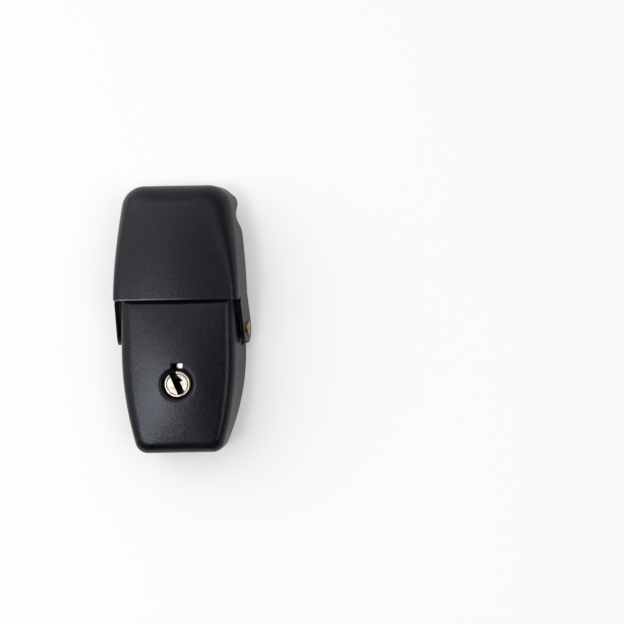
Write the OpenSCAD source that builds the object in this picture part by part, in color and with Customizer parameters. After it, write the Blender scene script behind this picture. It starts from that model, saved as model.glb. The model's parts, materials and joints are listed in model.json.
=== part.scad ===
// Case lock: a lock body on the case, and a hinged lever cap that hooks a strike on the lid.
// Millimetres. X runs across the lock, Y towards the lid, Z out of the case wall (z = 0).

/* [Lock body] */
// Width of the body at the case wall
body_w = 32.4; // [30:0.2:36]
// Lower end of the body, from the origin
body_reach = 35; // [33:0.5:42]
// How far the body runs on under the cap, from the origin
body_tail = 7.2; // [6:0.1:8]
// Height of the body at the middle of its face
body_h = 13.9; // [13.6:0.1:14.2]
// Wall of the body
body_wall = 1.5; // [1.2:0.1:1.8]
// Draft of the side walls, degrees
body_draft = 8.4; // [7:0.1:12]
// Draft of the lower end wall, degrees
body_end_draft = 6; // [3:0.5:9]
// Radius of the soft edge round the face
body_edge_r = 3; // [1.8:0.1:3.6]
// Radius of the two lower corners in plan
body_corner_r = 3.2; // [2:0.1:5]
// Radius of the arc that narrows the sides, at the case wall
body_side_r = 62; // [55:1:90]
// Radius of the arc that narrows the sides, at the face
body_face_r = 92; // [60:1:120]
// Rise of the crowned face
body_crown = 0.6; // [0.3:0.1:1]

/* [Hinge] */
// Place of the hinge axis along the lock
hinge_y = -2.4; // [-3:0.1:-2]
// Height of the hinge axis above the case wall
hinge_z = 4.2; // [4.2:0.1:4.6]
// Diameter of the hinge pin
pin_d = 3; // [2.4:0.1:3.2]
// Diameter of the riveted pin heads
pin_head_d = 3.6; // [3.4:0.1:4.4]
// Height of the riveted pin heads
pin_head_h = 0.55; // [0.4:0.05:0.8]
// Radius of the round ear ends
ear_r = 4; // [3.4:0.1:4.1]

/* [Lever cap] */
// Width of the cap at the height of the hinge
cap_w = 34.3; // [34:0.1:37]
// Far end of the cap at the lower edge of its end wall, from the origin
cap_reach = 35; // [33:0.5:42]
// Cut edge of the cap over the body, from the origin
cap_front = 5.2; // [4.6:0.1:5.6]
// Height of the cap at the middle of its roof
cap_h = 16; // [15.8:0.1:17]
// Wall of the cap
cap_wall = 1; // [0.8:0.05:1.2]
// Draft of the cap's side walls, degrees
cap_draft = 8; // [7:0.5:9]
// Draft of the cap's end wall, degrees
cap_end_draft = 5; // [3:0.5:8]
// Radius of the soft edge round the roof
cap_edge_r = 3; // [2:0.1:3.4]
// Radius of the two far corners in plan, at the roof
cap_corner_r = 6.5; // [4:0.1:8]
// Radius of the two far corners in plan, at the case wall
cap_foot_corner_r = 5; // [4:0.1:8]
// Radius of the arc that narrows the sides, at the roof
cap_side_r = 120; // [100:5:160]
// Radius of the arc that narrows the sides, at the case wall
cap_foot_side_r = 200; // [150:5:260]
// Rise of the crowned roof
cap_crown = 0.6; // [0.3:0.1:1]
// Height of the lower edge of the skirt
skirt_z = 4.2; // [3.6:0.1:5]
// Height of the lower edge of the end wall
end_skirt_z = 6; // [5:0.1:7]
// Middle of the finger scallops
scallop_y = 27.2; // [24:0.1:28]
// Length of a finger scallop
scallop_len = 6.5; // [4:0.1:7.5]
// Height of a finger scallop above the skirt's edge
scallop_rise = 3.6; // [2:0.1:4]
// Radius of the relief holes where ear and roof edge meet
relief_r = 0.7; // [0.4:0.1:1]

/* [Lock cylinder] */
// Place of the plug along the lock
plug_y = -16.1; // [-17:0.1:-16]
// Diameter of the plug's face
plug_d = 6.8; // [6.6:0.1:7.2]
// Diameter of the plug's barrel
barrel_d = 6; // [5.8:0.1:6.2]
// Width of the slot in the plug
key_slot_w = 1.8; // [1.2:0.05:2]
// Tilt of the plug's slot at rest, degrees
key_tilt = 23; // [0:1:30]
// Diameter of the rounded rim of the keyhole
rim_d = 9.2; // [8.8:0.1:10]
// Width of the notch at the top of the keyhole
notch_w = 3.1; // [2.4:0.1:3.4]
// Reach of the notch from the middle of the plug
notch_reach = 5.4; // [5.2:0.1:5.8]
// Diameter of the cylinder housing
housing_d = 10.4; // [10:0.1:10.8]
// Number of wafers along the plug
wafer_n = 4; // [4:1:4]
// Thickness of a wafer
wafer_t = 0.7; // [0.5:0.05:0.8]
// Distance between wafers
wafer_pitch = 1.45; // [1.3:0.05:1.5]

/* [Bolt and plates] */
// Thickness of the base plate and the strike plate
plate_t = 1.2; // [1:0.05:1.2]
// Thickness of the bolt
bolt_t = 1.2; // [1:0.05:1.25]
// Width of the bolt's nose
bolt_w = 6; // [4:0.2:8]
// Throw of the bolt over a quarter turn of the plug
bolt_throw = 3.2; // [3:0.05:3.4]
// Diameter of the crank pin
crank_pin_d = 1.6; // [1.2:0.1:1.6]
// Thickness of the hook plate
hook_t = 1.2; // [1:0.05:1.4]
// Width of the hook plate
hook_w = 12; // [10:0.5:14]
// Outer face of the strike's upstand, from the origin
strike_hook_y = 22.2; // [21:0.1:22.6]
// Height of the strike's upstand
strike_hook_h = 7; // [6:0.1:7.5]
// Far end of the strike plate, from the origin
strike_reach = 30.5; // [29:0.1:31]
// Width of the strike plate
strike_w = 19; // [16:0.5:21]

/* [Fixing holes] */
// Distance across between the fixing holes of the base plate
fix_dx = 16; // [14:0.5:17]
// Upper fixing holes, from the origin
fix_y_top = 3.4; // [2.8:0.1:3.6]
// Distance along between the fixing holes of the base plate
fix_dy = 30; // [29:0.1:30.5]
// Diameter of the tapped fixing holes
fix_d = 2.5; // [2:0.1:3]
// Diameter of the screw holes of the strike
strike_hole_d = 3.2; // [2.6:0.1:3.4]
// Distance between the screw holes of the strike
strike_dy = 11.5; // [11:0.1:12]

/* [Clearances] */
// Running fit of pins and shafts, on the radius
run_fit = 0.05; // [0.02:0.01:0.08]
// Room between pieces that slide
slide_gap = 0.1; // [0.08:0.01:0.15]
// Room between fixed pieces
seat_gap = 0.2; // [0.15:0.05:0.3]
// Room that a swinging piece keeps
swing_gap = 0.4; // [0.35:0.05:0.5]
// Room between the body's neck and the inside of the cap, at the height of the hinge
ear_gap = 0.57; // [0.5:0.01:1.1]

/* [Hidden] */
$fn = 48;

// Steps of the lofted skins
side_steps = 7;
corner_steps = 6;
edge_steps = 5;
roof_shares = [0.74, 0.46, 0.2];

// Body
body_half = body_w / 2;
roof_t = body_wall;
face_z = body_h;
roof_under_z = body_h - body_crown - roof_t;

// Hinge and cap
boss_sink = 0.25;
ear_seat_rim = 0.5;
pin_seat_rim = 0.3;
pin_seat_sink = 0.1;
pin_r = pin_d / 2;
cap_half = cap_w / 2;
neck_half = cap_half - cap_wall - ear_gap + hinge_z * tan(body_draft);
neck_y = hinge_y - ear_r - 2 * ear_seat_rim;
body_arc_start = neck_y - 0.6;
function neck_side_at(z) = neck_half - z * tan(body_draft);
cap_arc_start = 4;
cap_foot_half = cap_half + hinge_z * tan(cap_draft);
cap_foot_reach = cap_reach + end_skirt_z * tan(cap_end_draft);
cap_open_y = hinge_y - ear_r - 2.5;
cap_under_z = cap_h - cap_crown - cap_wall;
ear_face_x = cap_half - 1.2 * cap_wall;
across = cap_foot_half + 1;
pin_seat_x = cap_half - pin_seat_sink;
boss_face_x = neck_side_at(hinge_z) - boss_sink;
lug_x = neck_side_at(hinge_z) - body_wall - plate_t - seat_gap - 0.4;
lug_r = 2.9;

// Plug and housing, from the face down
plug_r = plug_d / 2;
barrel_r = barrel_d / 2;
keyhole_room = 0.3;
head_t = 1.7;
plug_top_z = body_h - 0.35;
head_z = plug_top_z - head_t;
cam_t = 1.1;
bolt_z = plate_t + slide_gap;
cam_head_h = 0.7;
cam_z = bolt_z + bolt_t + slide_gap + cam_head_h + slide_gap;
housing_z = cam_z + cam_t + slide_gap;
barrel_z = housing_z;
housing_top_z = roof_under_z - seat_gap / 2;
housing_r = housing_d / 2;
key_slot_floor = 0.9;
face_slot_floor = 0.4;
slot_wall = 0.3;
wafer_w = 3.6;
first_wafer_z = barrel_z + key_slot_floor + 0.6;
pocket_w = 0.6;
pocket_top = 1.4;
foot_y = -0.9;
foot_h = 0.5;
coil_turns = 4;
coil_wire_r = 0.06;
coil_r = 0.2;
tail_w = 2.8;
wing_x = 8.4;
wing_r = 2;
wing_t = 1.2;
wing_z = housing_z + 1.4;
screw_r = 0.9;
screw_head_h = 1;
screw_bite = 3;
screw_slot_w = 0.5;
rivet_head_h = 0.6;

// Crank and bolt
crank_r = bolt_throw / (2 * sin(45));
crank_rest = key_tilt - 45;
crank_x = crank_r * cos(crank_rest);
crank_y = plug_y + crank_r * sin(crank_rest);
crank_sag = 0.07;
crank_pin_r = crank_pin_d / 2;
lock_leg_y = hinge_y + norm([body_tail - hinge_y, body_h - hinge_z]) + swing_gap;
bolt_tip_y = lock_leg_y - 0.4;
nose_z = hinge_z;
riser_y = hinge_y + pin_r + 1.9;
bolt_heel_y = plug_y - 5.2;
bolt_pan_w = 2 * (crank_r + crank_pin_r + 1.7);
keeper_y = -8.6;
bolt_ahead = crank_r * (sin(45) - sin(crank_rest));
pan_end_y = keeper_y - bolt_ahead - swing_gap;
keeper_len = 2.6;
keeper_wall = 1;
keeper_foot = 3.4;

// Hook and strike
hook_top_z = cap_under_z - 0.9;
hook_leg_y = hinge_y + norm([strike_hook_y - hinge_y, strike_hook_h - hinge_z]) + swing_gap;
hook_foot_z = plate_t + swing_gap + 0.3;
base_top_y = body_tail - body_wall - seat_gap;
strike_y = body_tail + seat_gap;
strike_hole_in = 7.6;
strike_hole_y = strike_y + strike_hole_in;
catch_room = 0.5;
peg_r = 1.1;
peg_ys = [lock_leg_y + hook_t + 2.6, hook_leg_y - 2.8];

// Outline in plan: straight sides, an arc that narrows them, round corners and a straight end.
// start has the points ahead of the arc. toward is 1 for an end at +Y and -1 for an end at -Y.
function outline(half, start, arc_y, end_y, side_r, corner_r, toward) =
    let (
        run = toward * (end_y - arc_y),
        turn = asin((run - corner_r) / (side_r - corner_r)),
        corner_x = half - side_r + (side_r - corner_r) * cos(turn),
        side = [for (i = [0 : side_steps])
            let (a = turn * i / side_steps)
            [half - side_r + side_r * cos(a), arc_y + toward * side_r * sin(a)]],
        corner = [for (i = [1 : corner_steps])
            let (a = turn + (90 - turn) * i / corner_steps)
            [corner_x + corner_r * cos(a), end_y - toward * corner_r * (1 - sin(a))]],
        right = concat(start, side, corner),
        last = len(right) - 1,
        left = [for (i = [last : -1 : 0]) [-right[i][0], right[i][1]]],
        ring = concat(right, left)
    )
    toward > 0 ? ring : [for (i = [len(ring) - 1 : -1 : 0]) ring[i]];

// Wall profile: [side inset, end inset, z] from the foot up the drafted wall and round the edge
function wall_profile(foot_z, edge_z, edge_r, draft, end_draft) =
    let (
        mid_z = edge_z - edge_r,
        side_mid = mid_z * tan(draft) + edge_r / cos(draft),
        end_mid = mid_z * tan(end_draft) + edge_r / cos(end_draft)
    )
    concat([[foot_z * tan(draft), foot_z * tan(end_draft), foot_z]],
        [for (i = [0 : edge_steps])
            let (a = draft + (90 - draft) * i / edge_steps)
            [side_mid - edge_r * cos(a), end_mid - edge_r * cos(a), mid_z + edge_r * sin(a)]]);

// Value between a at the case wall and b at the face
function between(a, b, share) = a + (b - a) * share;

function lift(ring, z) = [for (p = ring) [p[0], p[1], z]];

// Rings that carry a skin over the crowned roof, drawn in towards the middle
function roof_rings(ring, edge_z, crown, mid_y) =
    [for (f = roof_shares)
        [for (p = ring) [f * p[0], mid_y + f * (p[1] - mid_y), edge_z + crown * (1 - f * f)]]];

// Closed shell between an outer and an inner stack of rings, both from the foot to the roof
module shell(outer, inner) {
    n = len(outer[0]);
    o = len(outer);
    k = len(inner);
    points = concat([for (ring = outer) each ring], [for (ring = inner) each ring]);
    first = o * n;
    wall_out = [for (j = [0 : o - 2], i = [0 : n - 1])
        let (b = (i + 1) % n)
        [j * n + i, (j + 1) * n + i, (j + 1) * n + b, j * n + b]];
    wall_in = [for (j = [0 : k - 2], i = [0 : n - 1])
        let (b = (i + 1) % n)
        [first + j * n + b, first + (j + 1) * n + b, first + (j + 1) * n + i, first + j * n + i]];
    rim = [for (i = [0 : n - 1])
        let (b = (i + 1) % n)
        [i, b, first + b, first + i]];
    roof_out = [[for (i = [n - 1 : -1 : 0]) (o - 1) * n + i]];
    roof_in = [[for (i = [0 : n - 1]) first + (k - 1) * n + i]];
    polyhedron(points, concat(wall_out, wall_in, rim, roof_out, roof_in), convexity = 6);
}

// Neck of the body from its upper end to where the sides set out, drawn in from the outer wall
function neck_points(side_in, top_y) =
    [[neck_half - side_in, top_y], [neck_half - side_in, neck_y]];

function body_ring(side_in, end_in, wall, share) = outline(body_half - side_in - wall,
    neck_points(side_in + wall, body_tail - end_in - wall), body_arc_start,
    -body_reach + end_in + wall, between(body_side_r, body_face_r, share),
    max(body_corner_r - wall / 2, 1), -1);

function body_skin(wall, roof) =
    let (
        edge_z = body_h - body_crown - roof,
        steps = wall_profile(0, edge_z, body_edge_r - wall / 2, body_draft, body_end_draft),
        walls = [for (s = steps) lift(body_ring(s[0], s[1], wall, s[2] / edge_z), s[2])],
        top = walls[len(walls) - 1]
    )
    concat(walls, roof_rings(top, edge_z, body_crown, (body_tail - body_reach) / 2));

function cap_ring(side_in, end_in, wall, share) = outline(cap_foot_half - side_in - wall,
    [[cap_foot_half - side_in - wall, cap_open_y + wall]], cap_arc_start,
    cap_foot_reach - end_in - wall, between(cap_foot_side_r, cap_side_r, share),
    between(cap_foot_corner_r, cap_corner_r, share) - wall / 2, 1);

function cap_skin(wall, roof) =
    let (
        edge_z = cap_h - cap_crown - roof,
        steps = wall_profile(0, edge_z, cap_edge_r - wall / 2, cap_draft, cap_end_draft),
        walls = [for (s = steps) lift(cap_ring(s[0], s[1], wall, s[2] / edge_z), s[2])],
        top = walls[len(walls) - 1]
    )
    concat(walls, roof_rings(top, edge_z, cap_crown, cap_front + (cap_reach - cap_front) / 2));

// Bar along X through the whole lock, at the hinge by default
module cross_bar(r, half, y = hinge_y, z = hinge_z) {
    translate([-half, y, z])
        rotate([0, 90, 0])
            cylinder(r = r, h = 2 * half);
}

// Disc along X between two distances from the middle, on both sides
module side_discs(r, x_in, x_out, y = hinge_y, z = hinge_z) {
    for (side = [0, 1])
        mirror([side, 0, 0])
            translate([x_in, y, z])
                rotate([0, 90, 0])
                    cylinder(r = r, h = x_out - x_in);
}

// Block from corner to corner
module block(low, high) {
    translate(low)
        cube(high - low);
}

module body_shell() {
    rim_r = rim_d / 2;
    hole_r = plug_r + keyhole_room;
    lip = rim_r - hole_r;
    color([0.09, 0.09, 0.1])
        difference() {
            union() {
                shell(body_skin(0, 0), body_skin(body_wall, roof_t));
                // Posts that take the housing screws
                for (side = [-1, 1])
                    translate([side * wing_x, plug_y, wing_z + wing_t])
                        cylinder(r = wing_r, h = roof_under_z + 0.7 * roof_t - wing_z - wing_t);
            }
            // Keyhole with a rounded rim
            translate([0, plug_y, roof_under_z - 1])
                cylinder(r = hole_r, h = body_h);
            translate([0, plug_y, face_z - lip])
                rotate_extrude()
                    difference() {
                        square([rim_r, 2 * lip]);
                        translate([rim_r, 0])
                            circle(r = lip);
                    }
            // Notch of the housing's lug
            block([-notch_w / 2, plug_y, roof_under_z - 1], [notch_w / 2, plug_y + notch_reach, body_h + 1]);
            // Way of the bolt through the upper end wall
            block([-bolt_w / 2 - seat_gap, body_tail - 3 * body_wall, -1],
                [bolt_w / 2 + seat_gap, body_tail + 1, nose_z + bolt_t + seat_gap]);
            // Hinge bore and its flat seats
            cross_bar(pin_r + run_fit, across);
            side_discs(ear_r + ear_seat_rim, boss_face_x, across);
            // Screw holes of the housing
            for (side = [-1, 1])
                translate([side * wing_x, plug_y, 0])
                    cylinder(r = screw_r + run_fit, h = wing_z + wing_t + screw_bite + seat_gap);
        }
}

module base_plate() {
    inset = body_wall + seat_gap + plate_t * tan(body_draft);
    collar_h = 2.2;
    color([0.75, 0.75, 0.72])
        difference() {
            union() {
                linear_extrude(plate_t)
                    polygon(outline(body_half - inset, neck_points(inset, base_top_y),
                        body_arc_start, -body_reach + inset, body_side_r, body_corner_r, -1));
                for (x = [-1, 1] * fix_dx / 2, y = [fix_y_top, fix_y_top - fix_dy])
                    translate([x, y, 0])
                        cylinder(d = fix_d + 1.8, h = collar_h);
                // Hinge lugs
                side_discs(lug_r, lug_x, lug_x + plate_t);
                for (side = [0, 1])
                    mirror([side, 0, 0])
                        block([lug_x, hinge_y - lug_r, plate_t / 2],
                            [lug_x + plate_t, hinge_y + lug_r, hinge_z]);
            }
            for (x = [-1, 1] * fix_dx / 2, y = [fix_y_top, fix_y_top - fix_dy])
                translate([x, y, -1])
                    cylinder(d = fix_d, h = collar_h + 2);
            cross_bar(pin_r + run_fit, across);
            for (side = [-1, 1])
                translate([side * keeper_rivet_x(), keeper_y + keeper_len / 2, -1])
                    cylinder(r = screw_r + run_fit, h = plate_t + 2);
        }
}

module cylinder_housing() {
    lug_side = 0.1;
    lug_back = 0.6;
    way_depth = 4;
    lug_w = notch_w - 2 * seat_gap;
    lug_reach = notch_reach - seat_gap;
    color([0.8, 0.79, 0.77])
        difference() {
            union() {
                translate([0, plug_y, housing_z])
                    cylinder(r = housing_r, h = housing_top_z - housing_z);
                // Lug in the right half of the notch of the keyhole
                block([-lug_side, plug_y + plug_r + lug_back, housing_top_z - 1],
                    [lug_w / 2, plug_y + lug_reach, plug_top_z - 0.3]);
                // Wings that the screws hold
                block([-wing_x, plug_y - wing_r, wing_z], [wing_x, plug_y + wing_r, wing_z + wing_t]);
                for (side = [-1, 1])
                    translate([side * wing_x, plug_y, wing_z])
                        cylinder(r = wing_r, h = wing_t);
            }
            translate([0, plug_y, housing_z - 1])
                cylinder(r = barrel_r + run_fit, h = body_h);
            translate([0, plug_y, head_z - slide_gap])
                cylinder(r = plug_r + slide_gap, h = body_h);
            // Open way left of the lug, in line with the plug's slot
            block([-lug_w / 2, plug_y, housing_top_z - way_depth],
                [-lug_side, plug_y + lug_reach - seat_gap, body_h]);
            for (side = [-1, 1])
                translate([side * wing_x, plug_y, 0])
                    cylinder(r = screw_r + run_fit, h = body_h);
        }
}

module housing_screws() {
    head_r = 1.8 * screw_r;
    color([0.72, 0.71, 0.68])
        for (side = [-1, 1])
            translate([side * wing_x, plug_y, wing_z - screw_head_h])
                difference() {
                    union() {
                        cylinder(r = head_r, h = screw_head_h);
                        cylinder(r = screw_r, h = screw_head_h + wing_t + screw_bite);
                    }
                    block([-2 * head_r, -screw_slot_w / 2, -screw_head_h],
                        [2 * head_r, screw_slot_w / 2, 0.4 * screw_head_h]);
                }
}

module hinge_pin() {
    head_r = pin_head_d / 2;
    dome = 0.25;
    head_x = pin_seat_x + slide_gap / 2;
    end_x = pin_seat_x - dome;
    profile = [[0, -end_x], [pin_r - dome, -end_x], [pin_r, dome - end_x], [pin_r, head_x], [head_r, head_x],
        [head_r, head_x + pin_head_h - dome], [head_r - dome, head_x + pin_head_h], [0, head_x + pin_head_h]];
    color([0.72, 0.53, 0.28])
        translate([0, hinge_y, hinge_z])
            rotate([0, 90, 0])
                rotate_extrude()
                    polygon(profile);
}

module friction_washers() {
    washer_in = boss_face_x + seat_gap / 4;
    washer_out = ear_face_x - seat_gap / 4;
    color([0.62, 0.62, 0.6])
        difference() {
            side_discs(pin_r + 1.2, washer_in, washer_out);
            cross_bar(pin_r + 2 * run_fit, across);
        }
}

// Distance of the keeper's rivets from the middle
function keeper_rivet_x() = bolt_w / 2 + 2 * slide_gap + keeper_wall + keeper_foot / 2;

module bolt_keeper() {
    wall = keeper_wall;
    inside = bolt_w / 2 + 2 * slide_gap;
    under_z = bolt_z + bolt_t + slide_gap;
    foot_x = keeper_rivet_x() + keeper_foot / 2;
    color([0.7, 0.7, 0.68])
        difference() {
            union() {
                block([-inside - wall, keeper_y, plate_t],
                    [inside + wall, keeper_y + keeper_len, under_z + wall]);
                block([-foot_x, keeper_y, plate_t], [foot_x, keeper_y + keeper_len, plate_t + wall]);
            }
            block([-inside, keeper_y - 1, plate_t - 1], [inside, keeper_y + keeper_len + 1, under_z]);
            for (side = [-1, 1])
                translate([side * keeper_rivet_x(), keeper_y + keeper_len / 2, 0])
                    cylinder(r = screw_r + run_fit, h = body_h);
        }
}

module keeper_rivets() {
    head_z = plate_t + keeper_wall;
    color([0.66, 0.66, 0.64])
        for (side = [-1, 1])
            translate([side * keeper_rivet_x(), keeper_y + keeper_len / 2, 0]) {
                cylinder(r = screw_r, h = head_z + rivet_head_h);
                translate([0, 0, head_z])
                    cylinder(r = 1.6 * screw_r, h = rivet_head_h);
            }
}

module strike_plate() {
    up_half = hook_w / 2;
    corner = 2;
    color([0.74, 0.74, 0.71])
        difference() {
            union() {
                linear_extrude(plate_t)
                    union() {
                        translate([-strike_w / 2, strike_y])
                            square([strike_w, strike_reach - strike_y - corner]);
                        translate([corner - strike_w / 2, strike_y])
                            square([strike_w - 2 * corner, strike_reach - strike_y]);
                        for (side = [-1, 1])
                            translate([side * (strike_w / 2 - corner), strike_reach - corner])
                                circle(r = corner);
                    }
                block([-up_half, strike_hook_y - plate_t, plate_t / 2],
                    [up_half, strike_hook_y, strike_hook_h]);
            }
            for (i = [0, 1])
                translate([0, strike_hole_y + i * strike_dy, -1])
                    cylinder(d = strike_hole_d, h = plate_t + 2);
        }
}

// Side view of the lever: ear round the hinge, sloping front edge, skirt and scallop, in (y, z)
module lever_profile() {
    shoulder_z = cap_under_z - cap_edge_r + 0.4;
    lean = atan2(shoulder_z - hinge_z, cap_front - hinge_y);
    reach = norm([shoulder_z - hinge_z, cap_front - hinge_y]);
    touch = lean + acos(ear_r / reach);
    // Both edges of the tongue run just inside the ear's round
    inside_r = 0.98 * ear_r;
    heel_angle = -57;
    front = [hinge_y + inside_r * cos(touch), hinge_z + inside_r * sin(touch)];
    foot = [hinge_y + inside_r * cos(heel_angle), hinge_z + inside_r * sin(heel_angle)];
    heel_y = hinge_y + 2.4 * ear_r;
    wall_y = cap_reach - cap_corner_r / 4;
    top_z = cap_h + 1;
    difference() {
        union() {
            translate([hinge_y, hinge_z])
                circle(r = ear_r);
            polygon([front, [cap_front, shoulder_z], [cap_front, top_z], [cap_reach + 1, top_z],
                [cap_reach + 1, end_skirt_z], [wall_y, end_skirt_z], [wall_y - 1, skirt_z],
                [heel_y, skirt_z], foot, [hinge_y, hinge_z]]);
        }
        translate([scallop_y, skirt_z])
            intersection() {
                scallop_r = scallop_rise / 2 + scallop_len * scallop_len / (8 * scallop_rise);
                translate([0, scallop_rise - scallop_r])
                    circle(r = scallop_r);
                translate([-scallop_len, -1])
                    square([2 * scallop_len, scallop_rise + 1]);
            }
    }
}

module lever_cap() {
    boss_r = peg_r + 1;
    color([0.09, 0.09, 0.1])
        difference() {
            union() {
                intersection() {
                    shell(cap_skin(0, 0), cap_skin(cap_wall, cap_wall));
                    translate([-across, 0, 0])
                        rotate([90, 0, 90])
                            linear_extrude(2 * across)
                                lever_profile();
                }
                // Bosses and pegs that carry the hook plate
                for (y = peg_ys)
                    translate([0, y, 0]) {
                        translate([0, 0, hook_top_z])
                            cylinder(r = boss_r, h = cap_h - cap_wall / 2 - hook_top_z);
                        translate([0, 0, hook_top_z - hook_t - 0.5])
                            cylinder(r = peg_r, h = hook_t + 1);
                    }
            }
            cross_bar(pin_r + run_fit, across);
            side_discs(ear_r + ear_seat_rim, ear_face_x - 3 * cap_wall, ear_face_x);
            // Flat seat of the pin's head
            translate([pin_seat_x, hinge_y, hinge_z])
                rotate([0, 90, 0])
                    cylinder(r = pin_head_d / 2 + pin_seat_rim, h = across - pin_seat_x);
            side_discs(relief_r, cap_half - 6, across, cap_front, cap_under_z - cap_edge_r + 0.4);
        }
}

module hook_plate() {
    half = hook_w / 2;
    slot_half = bolt_w / 2 + catch_room;
    color([0.75, 0.75, 0.72])
        difference() {
            union() {
                block([-half, lock_leg_y, hook_top_z - hook_t], [half, hook_leg_y + hook_t, hook_top_z]);
                block([-half, lock_leg_y, hook_foot_z], [half, lock_leg_y + hook_t, hook_top_z]);
                block([-half, hook_leg_y, hook_foot_z], [half, hook_leg_y + hook_t, hook_top_z]);
            }
            for (y = peg_ys)
                translate([0, y, hook_top_z - hook_t - 1])
                    cylinder(r = peg_r + run_fit, h = hook_t + 2);
            block([-slot_half, lock_leg_y - 1, nose_z - catch_room],
                [slot_half, lock_leg_y + hook_t + 1, nose_z + bolt_t + catch_room]);
        }
}

// Places its children on the plug's axis, turned to the tilt of its slot
module at_plug(z = 0) {
    translate([0, plug_y, z])
        rotate([0, 0, key_tilt])
            children();
}

module key_plug() {
    chamfer = 0.3;
    ring_in = plug_r - 0.75;
    profile = [[0, barrel_z], [barrel_r, barrel_z], [barrel_r, head_z], [plug_r, head_z],
        [plug_r, plug_top_z - chamfer], [plug_r - chamfer, plug_top_z], [ring_in + 0.15, plug_top_z],
        [ring_in, plug_top_z - 0.15], [ring_in - 0.15, plug_top_z], [0, plug_top_z]];
    slot_len = 2 * (barrel_r - slot_wall);
    slot_end = 2.6;
    groove = 0.8;
    groove_y = 0.3;
    groove_end = 2.2;
    rim_flat_y = 2.97;
    rim_flat_depth = 0.6;
    color([0.82, 0.81, 0.79])
        at_plug()
            difference() {
                union() {
                    rotate_extrude()
                        polygon(profile);
                    block([-tail_w / 2, -tail_w / 2, cam_z], [tail_w / 2, tail_w / 2, barrel_z + 0.5]);
                }
                block([-key_slot_w / 2, -slot_len / 2, barrel_z + key_slot_floor],
                    [key_slot_w / 2, slot_len / 2, body_h + 1]);
                // In the face the slot runs out through the rim at its upper end
                block([-key_slot_w / 2, -slot_end, head_z + face_slot_floor],
                    [key_slot_w / 2, plug_r + 1, body_h + 1]);
                // Slanted groove on the right of the slot
                translate([0, 0, barrel_z + key_slot_floor])
                    linear_extrude(body_h)
                        polygon([[0, groove_y], [key_slot_w / 2 + groove, groove_y],
                            [key_slot_w / 2, groove_end], [0, groove_end]]);
                // Flat across the rim below the slot
                block([-plug_r, -2 * plug_r, plug_top_z - rim_flat_depth], [plug_r, -rim_flat_y, body_h]);
                for (i = [0 : wafer_n - 1])
                    wafer_blank(i, slide_gap, body_h);
                for (i = [0 : wafer_n - 1])
                    translate([0, 0, wafer_z(i) - slide_gap])
                        spring_pocket(wafer_t + 2 * slide_gap);
                translate([0, 0, cam_z - 1])
                    cylinder(r = screw_r * 0.8 + run_fit, h = 2.6);
            }
}

function wafer_z(i) = first_wafer_z + i * wafer_pitch;

// Flat block of one wafer, grown by room on its faces
module wafer_blank(i, room, half_len) {
    block([-wafer_w / 2 - room, -half_len, wafer_z(i) - room],
        [wafer_w / 2 + room, half_len, wafer_z(i) + wafer_t + room]);
}

// Pocket beside a wafer for its spring
module spring_pocket(h) {
    block([wafer_w / 2 - 0.1, foot_y - slide_gap, 0], [wafer_w / 2 + pocket_w, pocket_top, h]);
}

module wafer(i) {
    key_gap = key_slot_w + 0.3;
    key_h = 3.4 - 0.25 * (i % 2);
    color([0.78, 0.62, 0.34])
        at_plug()
            difference() {
                intersection() {
                    union() {
                        wafer_blank(i, 0, barrel_r);
                        // Foot that the spring pushes
                        block([0, foot_y, wafer_z(i)],
                            [wafer_w / 2 + pocket_w - slide_gap, foot_y + foot_h, wafer_z(i) + wafer_t]);
                    }
                    cylinder(r = barrel_r - 0.02, h = body_h);
                }
                translate([0, 0.2 * (i % 3) - 0.2, 0])
                    block([-key_gap / 2, -key_h / 2, 0], [key_gap / 2, key_h / 2, body_h]);
            }
}

module wafer_1() {
    wafer(0);
}

module wafer_2() {
    wafer(1);
}

module wafer_3() {
    wafer(2);
}

module wafer_4() {
    wafer(3);
}

// Coil of round wire along Y, one closed skin swept along the helix
module coil(length, r, wire_r, turns) {
    sides = 5;
    rings = 9 * turns;
    points = [for (k = [0 : rings], i = [0 : sides - 1])
        let (
            a = 360 * turns * k / rings,
            b = 360 * i / sides,
            out = r + wire_r * cos(b)
        )
        [out * cos(a), wire_r + (length - 2 * wire_r) * k / rings + wire_r * sin(b), out * sin(a)]];
    wall = [for (k = [0 : rings - 1], i = [0 : sides - 1])
        let (c = (i + 1) % sides)
        [k * sides + i, k * sides + c, (k + 1) * sides + c, (k + 1) * sides + i]];
    first = [for (i = [sides - 1 : -1 : 0]) i];
    last = [for (i = [0 : sides - 1]) rings * sides + i];
    polyhedron(points, concat(wall, [first, last]), convexity = 8);
}

module wafer_spring(i) {
    low = foot_y + foot_h;
    color([0.6, 0.6, 0.58])
        at_plug(wafer_z(i) + wafer_t / 2)
            translate([wafer_w / 2 + pocket_w / 2, low, 0])
                coil(pocket_top - low, coil_r, coil_wire_r, coil_turns);
}

module wafer_spring_1() {
    wafer_spring(0);
}

module wafer_spring_2() {
    wafer_spring(1);
}

module wafer_spring_3() {
    wafer_spring(2);
}

module wafer_spring_4() {
    wafer_spring(3);
}

module tail_cam() {
    hub_r = tail_w / 2 + 0.9;
    arm_r = crank_pin_r + 0.6;
    tail_room = tail_w / 2 + run_fit;
    color([0.76, 0.75, 0.72])
        difference() {
            union() {
                translate([0, plug_y, cam_z])
                    cylinder(r = hub_r, h = cam_t);
                translate([crank_x, crank_y, cam_z])
                    cylinder(r = arm_r, h = cam_t);
                translate([crank_x, crank_y, bolt_z + slide_gap])
                    cylinder(r = crank_pin_r, h = cam_z + cam_t / 2 - bolt_z - slide_gap);
            }
            at_plug(cam_z - 1)
                block([-tail_room, -tail_room, 0], [tail_room, tail_room, cam_t + 2]);
        }
}

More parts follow.
